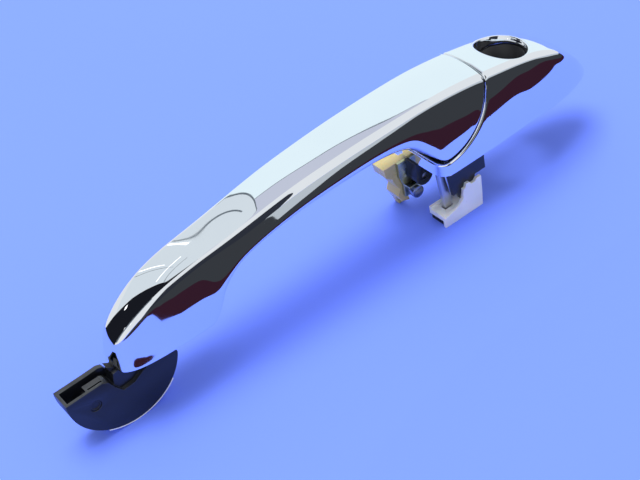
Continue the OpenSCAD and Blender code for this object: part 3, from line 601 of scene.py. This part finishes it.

# %% [markdown]
# ### Bare metals
# The blade is stamped from bright sheet and shows rolling streaks. The clip's strip is yellow-passivated
# zinc, whose colour drifts between olive and gold. The barrel is polished steel with a painted blue
# tint, a painted reflection of the blue sheet. The nut is turned brass, and the screws are plain zinc.


# %% The bare metals
def make_metal(name, main, drift, rough, depth, spots=60.0):
    """A bare metal whose colour drifts between two, brushed along X and brighter at its edges."""
    material, tree, shader = surface(name, Metallic=1.0)
    streaks = use(tree, BRUSHING, Rough=rough, Depth=0.25)
    edges = use(tree, EDGES, Width=0.0003, Amount=0.8)
    body = blend_colour(tree, noise(tree, spots, 4), main, drift)
    bright = tuple(min(1.0, 1.25 * c + 0.05) for c in main)
    body = blend_colour(tree, edges.outputs["Mask"], body, bright)
    tree.links.new(body, shader.inputs["Base Color"])
    tree.links.new(streaks.outputs["Roughness"], shader.inputs["Roughness"])
    bump(tree, shader, streaks.outputs["Height"], depth, 0.5)
    return material


BLADE_STEEL = make_metal("stamped_steel", (0.74, 0.75, 0.77), (0.62, 0.63, 0.66), 0.4, 0.00001)
SCREW_ZINC = make_metal("screw_zinc", (0.60, 0.61, 0.62), (0.46, 0.47, 0.49), 0.32, 0.00001)
YELLOW_ZINC = make_metal("yellow_zinc", (0.62, 0.57, 0.30), (0.46, 0.50, 0.34), 0.3, 0.00001, 140.0)
# The barrel's steel grey carries a painted blue tint: a painted reflection of the blue sheet below it.
STEEL_PAINTED_BLUE = make_metal("steel_with_painted_blue", (0.40, 0.43, 0.50), (0.30, 0.33, 0.42), 0.3, 0.000006)
TURNED_BRASS = make_metal("turned_brass", (0.78, 0.60, 0.28), (0.66, 0.50, 0.24), 0.26, 0.00001)
print("metals made")

# %% [markdown]
# ## The grip's chromed skin
# This is the arch that the hand pulls. On the real part it is one injection moulding that wraps over
# the top and both sides, open underneath and closed by a separate plate. A loft suits it, because each
# of its lines is a curve along the handle. The nose is closed by joining mirrored points, so that no
# pole spoils the reflection there.


# %% Loft the grip's skin
def lower_half(x):
    """Half the grip's width along its lower edge: the foot, the arch, and the side behind the toe."""
    foot, toe = ease((x - FOOT) / 18), ease((TOE - x) / 16)
    arch_half = mix(base_half(min(x, TOE)), ARCH_HALF, foot)
    return mix(flank(max(x, AT_TOE), under_z(x)), arch_half, toe)


def grip_half(x, inset):
    """Half the grip's outline at x, drawn in by an inset for the skin's inner face."""
    low_z, top = under_z(x), crease_z(x) - inset
    behind = ease((x - TOE + 20) / 22)
    wide_z = mix(low_z, top, 0.3)
    wide_z = mix(wide_z, max(waist_z(x), wide_z), behind)
    wide = mix(waist_half(x), flank(x, wide_z), behind) - inset
    soft = 0.5 + 2.3 * ease((x - FOOT) / 14) * ease((TOE - x) / 12)
    crease = (max(crease_half(x) - inset, 0.5), max(top, low_z + 0.6))
    waist = (max(wide, 0.7), max(wide_z, low_z + 0.3))
    low = (max(lower_half(x) - inset, 0.6), low_z)
    return half_outline(top, 2 * crown(x), crease, waist, low, 2.6, 0.15 if inset else soft)


def skin_rows(bm, places, inner_places, half, wall):
    """Rows of points along a skin's outer and inner faces, joined along it and closed at its edges."""
    outers, inners = [], []
    for x, inner_x in zip(places, inner_places):
        outer, inner = band(half(x, 0.0), half(inner_x, wall))
        outers.append([bm.verts.new((x, y, z)) for y, z in outer])
        inners.append([bm.verts.new((inner_x, y, z)) for y, z in inner])
    join_skin(bm, outers, inners)
    return outers, inners


def build_grip_skin():
    bm = bmesh.new()
    length = GRIP_END - NOSE
    inner_places = [GRIP_END - (GRIP_END - x) * (length - SHELL_WALL) / length for x in grip_stations]
    outers, inners = skin_rows(bm, grip_stations, inner_places, grip_half, SHELL_WALL)
    ladder(bm, outers[0])
    ladder(bm, inners[0])
    bm.faces.new([outers[0][0], outers[0][-1], inners[0][-1], inners[0][0]])
    strip(bm, outers[-1], inners[-1])
    crease_sharp_edges(bm, 0.75, keep_round=lambda p: p.x < NOSE + 1.5 and p.z > 0.3)
    return finish_piece("grip_chrome_skin", bm, CHROME, "grip", ["grip_outer_shell"],
                        50, levels=2)


build_grip_skin()

# %% [markdown]
# ## The grip's back plate
# A second chromed moulding closes the arch where the fingers go, so the grip is smooth all round. It is
# a strip that follows the arch between the skin's two edges, with softened sides and a hairline gap.


# %% Loft the back plate
HAIRLINE = 0.12


def plate_outline(x):
    """The plate's section at x: its two softened edges, a slight belly below and a flat top."""
    half, low = lower_half(x) - SHELL_WALL - HAIRLINE, under_z(x)
    over_arch = max(low + BACK_WALL, under_z(x - BACK_WALL), under_z(x + BACK_WALL))
    high = max(min(over_arch, crease_z(x) - SHELL_WALL - 0.4), low + 0.5)
    right = [(half, high), (half, low + min(high - low, 0.5)), (half - 0.15, low + 0.12),
             (half - 0.6, low), (half * 0.5, low - 0.04)]
    return right + [(0, low - 0.05)] + [(-y, z) for y, z in reversed(right)] + [(0, high)]


def build_back_plate():
    bm = bmesh.new()
    rings = []
    for x in stations(FOOT - 0.5, GRIP_END - 0.7, 2.2, under_z):
        outline = plate_outline(x)
        rings.append([bm.verts.new((x, y, z)) for y, z in outline])
    for first, second in zip(rings, rings[1:]):
        strip(bm, first + first[:1], second + second[:1])
    bm.faces.new(rings[0])
    bm.faces.new(rings[-1])
    crease_sharp_edges(bm, 0.8)
    return finish_piece("grip_back_strip", bm, CHROME, "grip", ["grip_back_plate"],
                        40, levels=1)


build_back_plate()

# %% [markdown]
# ## The cap's chromed skin
# Behind the seam the cap carries the same lines on to the tail. In front of the seam it has no top: its
# two side walls sweep down along the seam to a low lip that runs round the grip's rear foot, like a
# cradle. The dome and the walls are one moulding, so they are one mesh here: the walls start from the
# dome's front edge and share its points, which keeps the side reflection unbroken.


# %% Outlines of the cap
def cap_half(x, inset):
    """Half the cap's outline at x; its crease grows softer towards the tail."""
    wide = waist_half(x) if x < TAIL else 0.5
    top = crease_z(x) - inset
    crease = (max(crease_half(x) - inset, 0.5), max(top, 0.4 - inset))
    waist = (max(wide - inset, 0.5), max(waist_z(x) - inset, 0.2 - inset))
    low = (max(base_half(max(x, BEHIND_TOE)) - inset, 0.5), 0.0)
    return half_outline(top, 2 * crown(x), crease, waist, low, mix(2.4, 9, ease((x - 6) / 30)), 0.3)


def wall_top(x):
    """Height of the cradle's wall: the seam's quarter ellipse, then the low lip."""
    if x < TOE:
        return LIP_Z
    t = min((x - TOE) / (CAP_FRONT - TOE), 1)
    return max(LIP_Z, SEAM_TOP - (SEAM_TOP - TOE_Z + CRADLE_GAP) * math.sqrt(1 - t * t))


def wall_half(x, z):
    """Half the cradle's width at a height, with the rounded front corners."""
    line = cap_half(max(x, BEHIND_TOE), 0.0)
    k = next((j for j in range(1, len(line)) if line[j][1] >= z), len(line) - 1)
    (y0, z0), (y1, z1) = line[k - 1], line[k]
    side = mix(y0, y1, bound((z - z0) / max(z1 - z0, 1e-6), 0, 1))
    if x > LIP + LIP_CORNER:
        return side
    corner = HALF - LIP_CORNER + math.sqrt(max(LIP_CORNER**2 - (LIP + LIP_CORNER - x) ** 2, 0))
    return min(side, corner)


front_outline = cap_half(CAP_FRONT, 0.0)
SIDE_TOP = next(j for j, (y, z) in enumerate(front_outline) if z > SEAM_TOP - 1.4)
side_shares = [z / front_outline[SIDE_TOP][1] for y, z in front_outline[: SIDE_TOP + 1]]
print("the cradle's wall shares", SIDE_TOP + 1, "points with the dome")


def on_front_rim(p):
    """Whether a point lies on the rim along the seam, which is a soft bright lip."""
    return p.x < CAP_FRONT + 0.4 and p.z > wall_top(p.x) - 0.4


# %% Loft the cap's dome and its cradle as one skin
CRADLE_MIDDLE = Vector((-35, 0))


def build_cap_skin():
    bm = bmesh.new()
    inner_tail = TAIL - 2.5 * CAP_WALL
    inner_places = [mix(CAP_FRONT, inner_tail, (x - CAP_FRONT) / (TAIL_CUT - CAP_FRONT))
                    for x in cap_stations]
    outers, inners = skin_rows(bm, cap_stations, inner_places, cap_half, CAP_WALL)
    ladder(bm, outers[-1])
    ladder(bm, inners[-1])
    bm.faces.new([outers[-1][0], outers[-1][-1], inners[-1][-1], inners[-1][0]])
    n = len(outers[0])
    strip(bm, outers[0][SIDE_TOP:n - SIDE_TOP], inners[0][SIDE_TOP:n - SIDE_TOP])

    wall_run = CAP_FRONT - LIP - LIP_CORNER
    quarter = math.pi / 2
    path = [CAP_FRONT - wall_run * (1 - math.cos(quarter * k / 12)) for k in range(1, 13)]
    turn = [LIP + LIP_CORNER * (1 - math.sin(quarter * k / 5)) for k in range(1, 6)]
    columns = []
    for x in path + turn:
        columns.append([(x, wall_half(x, s * wall_top(x)), s * wall_top(x)) for s in side_shares])
    corner = columns[-1][0][1]
    for y in (corner / 3, -corner / 3):
        columns.append([(LIP, y, s * wall_top(LIP)) for s in side_shares])
    columns += [[(x, -y, z) for x, y, z in column] for column in reversed(columns[:-2])]

    plan = [Vector((c[0][0], c[0][1])) for c in columns]
    outer_columns, inner_columns = [outers[0][: SIDE_TOP + 1]], [inners[0][: SIDE_TOP + 1]]
    for k, column in enumerate(columns):
        before = plan[k - 1] if k else Vector((CAP_FRONT, outers[0][0].co.y))
        after = plan[k + 1] if k + 1 < len(plan) else Vector((CAP_FRONT, -outers[0][0].co.y))
        along = (after - before).normalized()
        inward = Vector((-along.y, along.x)) * -CAP_WALL
        if inward.dot(CRADLE_MIDDLE - plan[k]) < 0:
            inward = -inward
        outer_columns.append([bm.verts.new(p) for p in column])
        inner_columns.append([bm.verts.new((x + inward.x, y + inward.y, z)) for x, y, z in column])
    outer_columns.append([outers[0][n - 1 - j] for j in range(SIDE_TOP + 1)])
    inner_columns.append([inners[0][n - 1 - j] for j in range(SIDE_TOP + 1)])
    join_skin(bm, outer_columns, inner_columns)
    crease_sharp_edges(bm, 0.72, keep_round=lambda p: p.x > TAIL - 1 or on_front_rim(p))
    return finish_piece("cap_chrome_skin", bm, CHROME, "cap", ["cap_shell"],
                        50, levels=2)


cap_skin = build_cap_skin()

# %% [markdown]
# ## The key opening
# The opening is a round hole through the dome, with a chromed collar that rolls over its edge and
# narrows down to the black lock tunnel. Before the hole is cut, rays dropped on the dome measure its
# height all round, so that the collar's rolled edge hugs the curved surface instead of standing off it.


# %% Cut the hole and roll the collar
ROUND_STEPS = 96
# The collar's section as (radius, height): its rolled edge over the dome, then the cone below that.
ROLLED_EDGE = [(12.2, -0.02), (11.85, 0.035), (11.5, 0.045), (11.22, -0.02), (11.05, -0.2),
               (10.95, -0.5)]
CONE = [(10.75, -2.6), (10.4, -4.6), (10.15, -5.6), (10.1, -6.5), (11.4, -6.5)]


def surface_height(tree, x, y):
    """Height in millimetres of the dome above a point of the door skin."""
    hit = tree.ray_cast(Vector((x * MM, y * MM, 0.1)), Vector((0, 0, -1)))[0]
    return hit.z / MM


def build_key_collar():
    depsgraph = bpy.context.evaluated_depsgraph_get()
    tree = BVHTree.FromObject(cap_skin, depsgraph)
    top_z = surface_height(tree, 0, 0)
    bm = bmesh.new()
    rings = []
    for k in range(ROUND_STEPS):
        a = 2 * math.pi * k / ROUND_STEPS

        def dome(r):
            return surface_height(tree, r * math.cos(a), r * math.sin(a))

        edge_z = dome(RIM_R)
        points = [(r, (dome(r) if r > RIM_R - 0.1 else edge_z) + lift) for r, lift in ROLLED_EDGE]
        points += [(r, min(top_z + drop, edge_z - 0.9 - 0.4 * j)) for j, (r, drop) in enumerate(CONE)]
        points += [(11.45, edge_z - 1.2), (12.1, dome(12.1) - 0.6)]
        rings.append([bm.verts.new((r * math.cos(a), r * math.sin(a), z)) for r, z in points])
    for first, second in zip(rings, rings[1:] + rings[:1]):
        strip(bm, first + first[:1], second + second[:1])
    return finish_piece("key_collar", bm, CHROME, "cap", ["key_bezel"], 50, levels=1)


build_key_collar()


def cut_round_hole(piece, radius, low, high):
    """Cuts a round hole along Z through a piece, at the origin."""
    bm = bmesh.new()
    middle = Matrix.Translation((0, 0, (low + high) / 2 * MM))
    bmesh.ops.create_cone(bm, cap_ends=True, segments=ROUND_STEPS, radius1=radius * MM,
                          radius2=radius * MM, depth=(high - low) * MM, matrix=middle)
    mesh = bpy.data.meshes.new("hole_cutter")
    bm.to_mesh(mesh)
    bm.free()
    cutter = bpy.data.objects.new("hole_cutter", mesh)
    bpy.context.scene.collection.objects.link(cutter)
    cut = piece.modifiers.new("hole", "BOOLEAN")
    cut.operation, cut.solver, cut.object = "DIFFERENCE", "EXACT", cutter
    settle(piece)
    bpy.data.objects.remove(cutter)
    smooth(piece.data, 50)


cut_round_hole(cap_skin, RIM_R, 20, 60)
print("cap skin after the hole:", len(cap_skin.data.polygons), "faces")

# %% [markdown]
# ## Carried-over pieces
# The moulded and stamped pieces below the skins have the right shape already: flat outlines with steps,
# pockets and holes. What the CAD solid lacks is the small radius that every real edge has, and which
# catches the light. So each keeps its CAD mesh, and a stack of modifiers merges its flat faces and
# rounds its edges.


# %% Round the edges of the CAD nodes and give them their finishes
WELD, SAME_PLANE, CORNER_DEG = 2e-6, math.radians(1.0), 32


def carry(node, material, radius):
    """Keeps a CAD node's mesh, rounds its edges by a radius in millimetres, and gives it a finish."""
    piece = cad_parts[node]
    piece.data.materials.clear()
    piece.data.materials.append(material)
    weld = piece.modifiers.new("weld", "WELD")
    weld.merge_threshold = WELD
    flat = piece.modifiers.new("flat_faces", "DECIMATE")
    flat.decimate_type, flat.angle_limit = "DISSOLVE", SAME_PLANE
    if radius:
        edges = piece.modifiers.new("edge_radius", "BEVEL")
        edges.width, edges.segments, edges.limit_method = radius * MM, 2, "ANGLE"
        edges.angle_limit, edges.harden_normals = math.radians(CORNER_DEG), True
    smooth(piece.data, CORNER_DEG)
    return piece


carried = {
    "pivot_hook": (NYLON, 0.3), "pull_arm": (NYLON, 0.2), "cap_carrier": (NYLON, 0.2),
    "lock_tunnel": (TUNNEL_BLACK, 0.0), "hook_plug": (TUNNEL_BLACK, 0.15),
    "grip_core": (CORE_BLACK, 0.0), "arm_shoe": (WHITE_ACETAL, 0.25),
    "clip_wedge": (CREAM_ACETAL, 0.9), "hook_wear_strip": (SLIDE_TAPE, 0.1),
    "nose_gasket": (SOFT_RUBBER, 0.15), "cap_base_gasket": (SOFT_RUBBER, 0.1),
    "throat_gasket": (SOFT_RUBBER, 0.1), "shoe_bumper": (SOFT_RUBBER, 0.3),
    "toe_buffers": (SOFT_RUBBER, 0.3), "pull_blade": (BLADE_STEEL, 0.15),
    "clip_plate": (YELLOW_ZINC, 0.12), "clip_barrel": (STEEL_PAINTED_BLUE, 0.3),
    "tail_nut": (TURNED_BRASS, 0.12), "clip_screw": (SCREW_ZINC, 0.15),
    "carrier_screws": (SCREW_ZINC, 0.12), "hook_screws": (SCREW_ZINC, 0.12),
    "blade_rivets": (SCREW_ZINC, 0.15), "arm_screws": (SCREW_ZINC, 0.12), "shoe_pin": (SCREW_ZINC, 0.15),
}
for node, (material, radius) in carried.items():
    carry(node, material, radius)
print("carried over:", len(carried), "nodes")

# %% [markdown]
# ## The room
# Chrome shows the room more than itself, so the room is most of its look. Two things are wanted from it
# that fight each other: soft even light on the blue sheet, and crisp panels, seams and dark bands in the
# plating. So the light comes from a bright plain world and two modest lamps that aren't mirrored, and
# what the plating mirrors is a set of cards that only reflected rays can see. Directions are a compass
# seen from above, with 0 degrees at +Y and 90 at +X, and a height above the horizon.


# %% Paper, cards and glowing panels
def flat_card(name, corners, material):
    mesh = bpy.data.meshes.new(name)
    mesh.from_pydata([Vector(c) for c in corners], [], [(0, 1, 2, 3)])
    return stage_object(name, mesh, material)


def stage_object(name, mesh, material):
    """Adds a piece of the room, which isn't part of the handle."""
    card = bpy.data.objects.new(name, mesh)
    card.data.materials.append(material)
    bpy.context.scene.collection.objects.link(card)
    return card


def only_reflected(card):
    """Hides a card from everything except mirror reflections."""
    for ray in ("camera", "diffuse", "shadow", "transmission", "volume_scatter"):
        setattr(card, "visible_" + ray, False)
    return card


def make_paper(name, first, second, rough):
    material, tree, shader = surface(name, Roughness=rough, Specular_IOR_Level=0.25)
    tone = blend_colour(tree, noise(tree, 2.0, 2), first, second)
    tree.links.new(tone, shader.inputs["Base Color"])
    bump(tree, shader, noise(tree, 1800.0, 3), 0.00004, 0.25)
    return material


def make_glow(name, colour, level):
    """An even glow, as of a lit panel or a dark corner of the room."""
    material = bpy.data.materials.new(name)
    material.use_nodes = True
    tree = material.node_tree
    tree.nodes.clear()
    glow, out = place(tree, "ShaderNodeEmission"), place(tree, "ShaderNodeOutputMaterial")
    glow.inputs["Color"].default_value = (*colour, 1)
    glow.inputs["Strength"].default_value = level
    tree.links.new(glow.outputs["Emission"], out.inputs["Surface"])
    return material


SHEET_BLUE = make_paper("blue_sheet", (0.141, 0.230, 0.93), (0.150, 0.240, 0.94), 0.75)
corners = [(-3, -3, FLOOR_Z), (3, -3, FLOOR_Z), (3, 3, FLOOR_Z), (-3, 3, FLOOR_Z)]
flat_card("floor_sheet", corners, SHEET_BLUE)

# %% The edge of the sheet on the near side
# In the plating's low reflections the sheet ends a hand's breadth in front of the handle. After it come
# its brown edge and a dark table, and beyond the tail a bright part of the room.
CARD_LIFT = 0.0005
SHEET_EDGE = [(-0.6, -0.35), (-0.267, -0.168), (-0.206, -0.140), (-0.191, -0.121), (-0.179, -0.1),
              (-0.161, -0.088), (-0.12, -0.076), (-0.05, -0.072), (0.05, -0.068), (1.6, -0.012)]
BROWN_WIDTH, TABLE_WIDTH = 0.022, 1.8


def near_strip(name, nearer, further, material):
    """A band of the table, between two distances in metres in front of the sheet's edge."""
    z = FLOOR_Z + CARD_LIFT
    points = [(x, y - far, z) for far in (nearer, further) for x, y in SHEET_EDGE]
    n = len(SHEET_EDGE)
    mesh = bpy.data.meshes.new(name)
    mesh.from_pydata(points, [], [(k, k + 1, n + k + 1, n + k) for k in range(n - 1)])
    return only_reflected(stage_object(name, mesh, material))


near_strip("brown_edge", 0.0, BROWN_WIDTH, make_glow("brown_edge", (0.036, 0.012, 0.024), 1.0))
near_strip("dark_table", BROWN_WIDTH, TABLE_WIDTH, make_glow("dark_table", (0.040, 0.044, 0.052), 1.0))
ROOM_Z = FLOOR_Z + 2 * CARD_LIFT
corners = [(-0.07, -0.197, ROOM_Z), (0.27, -1.9, ROOM_Z), (2.2, -1.9, ROOM_Z), (2.2, -0.13, ROOM_Z)]
only_reflected(flat_card("bright_room", corners, make_glow("bright_room", (0.84, 0.92, 1.0), 0.62)))
print("sheet ends at y =", SHEET_EDGE[6][1], "beside the grip")

# %% The panels in the sky
ROOM_CENTRE, ROOM_R = Vector((-0.08, 0.0, 0.02)), 1.6


def sky_card(name, compass, height, material, radius=ROOM_R, across=10, up=8):
    """A curved patch of the room between two compass directions and two heights, in degrees."""
    points = []
    for j in range(up + 1):
        el = math.radians(mix(*height, j / up))
        for k in range(across + 1):
            az = math.radians(mix(*compass, k / across))
            points.append(ROOM_CENTRE + radius * Vector(
                (math.sin(az) * math.cos(el), math.cos(az) * math.cos(el), math.sin(el))))
    row = across + 1
    faces = [(j * row + k, j * row + k + 1, (j + 1) * row + k + 1, (j + 1) * row + k)
             for j in range(up) for k in range(across)]
    mesh = bpy.data.meshes.new(name)
    mesh.from_pydata(points, [], faces)
    return only_reflected(stage_object(name, mesh, material))


NEAR_BLACK = make_glow("room_dark", (0.010, 0.011, 0.016), 1.0)
sky_card("main_panel", (8.5, 72), (-3, 56), make_glow("main_panel", (0.82, 0.95, 1.0), 1.04))
sky_card("upper_panel", (8.5, 78), (56.7, 90), make_glow("upper_panel", (0.80, 0.84, 1.0), 0.74))
sky_card("left_panel", (-35, 8.1), (18, 90), make_glow("left_panel", (0.86, 0.94, 1.0), 0.84))
sky_card("dark_corner", (-80, -35.5), (-3, 90), NEAR_BLACK)
sky_card("grey_post", (-95, -80.5), (5, 60), make_glow("grey_post", (0.30, 0.36, 0.45), 0.5))
FRAME_GREY = make_glow("frame_grey", (0.16, 0.19, 0.22), 1.0)
sky_card("panel_post", (7.8, 8.8), (16, 90), FRAME_GREY, radius=ROOM_R + 0.1)
sky_card("panel_rail", (8.5, 71), (55.6, 57.1), FRAME_GREY, radius=ROOM_R + 0.1)
sky_card("near_post", (168, 205), (-4, 47), make_glow("near_post", (0.028, 0.032, 0.045), 1.0))
LAMP_WHITE = make_glow("lamp_white", (1.0, 1.0, 1.0), 2.0)
WINDOW_BARS = [((-9.5, -8.9), (18, 47), LAMP_WHITE), ((-30, -2), (54.6, 55.4), LAMP_WHITE),
               ((3.7, 4.2), (18, 44), LAMP_WHITE), ((4.9, 5.2), (18, 60), FRAME_GREY),
               ((-36, -2), (62.8, 63.3), FRAME_GREY), ((-12.5, -12.1), (18, 60), FRAME_GREY)]
for number, (compass, height, glow) in enumerate(WINDOW_BARS):
    sky_card(f"window_bar_{number}", compass, height, glow, radius=ROOM_R - 0.05)
FAR_LAMPS, LAMP_WIDE, LAMP_TALL = [(-40.5, 31), (-109.7, 31.7), (-73.4, 30.9)], 1.6, 1.2
for number, (compass, height) in enumerate(FAR_LAMPS):
    sky_card(f"far_lamp_{number}", (compass - LAMP_WIDE, compass + LAMP_WIDE),
             (height - LAMP_TALL, height + LAMP_TALL), LAMP_WHITE, radius=ROOM_R - 0.1)


# %% The lamps and the world
def soft_panel(name, place_at, width, height, power):
    """A rectangular lamp that faces the handle and isn't mirrored in it."""
    lamp = bpy.data.lights.new(name, "AREA")
    lamp.shape, lamp.size, lamp.size_y, lamp.energy = "RECTANGLE", width, height, power
    panel = bpy.data.objects.new(name, lamp)
    panel.location = place_at
    panel.rotation_mode = "QUATERNION"
    panel.rotation_quaternion = (Vector(place_at) - ROOM_CENTRE).to_track_quat("Z", "Y")
    panel.visible_glossy = False
    bpy.context.scene.collection.objects.link(panel)
    return panel


soft_panel("far_lamp", (-0.25, 0.3, 3.0), 2.0, 1.6, 72)
soft_panel("top_lamp", (-0.4, 0.3, 2.5), 1.2, 0.9, 15)
world = bpy.data.worlds.new("bright_room")
world.use_nodes = True
sky = world.node_tree.nodes["Background"]
sky.inputs["Color"].default_value = (0.94, 0.97, 1.0, 1)
sky.inputs["Strength"].default_value = 0.88
bpy.context.scene.world = world
bpy.context.scene.view_settings.view_transform = "Standard"

# %% The camera
# It looks down on the near side from beyond the nose, about thirty degrees round, forty degrees down
# and rolled by twelve.
VIEW_RIGHT = Vector((0.7788, -0.6053, -0.1644))
VIEW_DOWN = Vector((-0.5038, -0.4475, -0.7389))
VIEW_AHEAD = Vector((0.3737, 0.6583, -0.6535))
EYE = Vector((-0.29637, -0.34010, 0.33252))
LENS, SENSOR = 72.49, 36.0
lens = bpy.data.cameras.new("catalogue_camera")
lens.lens, lens.sensor_width, lens.clip_start = LENS, SENSOR, 0.01
camera = bpy.data.objects.new("catalogue_camera", lens)
turn = Matrix((VIEW_RIGHT, -VIEW_DOWN, -VIEW_AHEAD)).transposed().to_4x4()
camera.matrix_world = Matrix.Translation(EYE) @ turn
bpy.context.scene.collection.objects.link(camera)
bpy.context.scene.camera = camera
print("camera at", tuple(round(v, 3) for v in camera.matrix_world.translation))
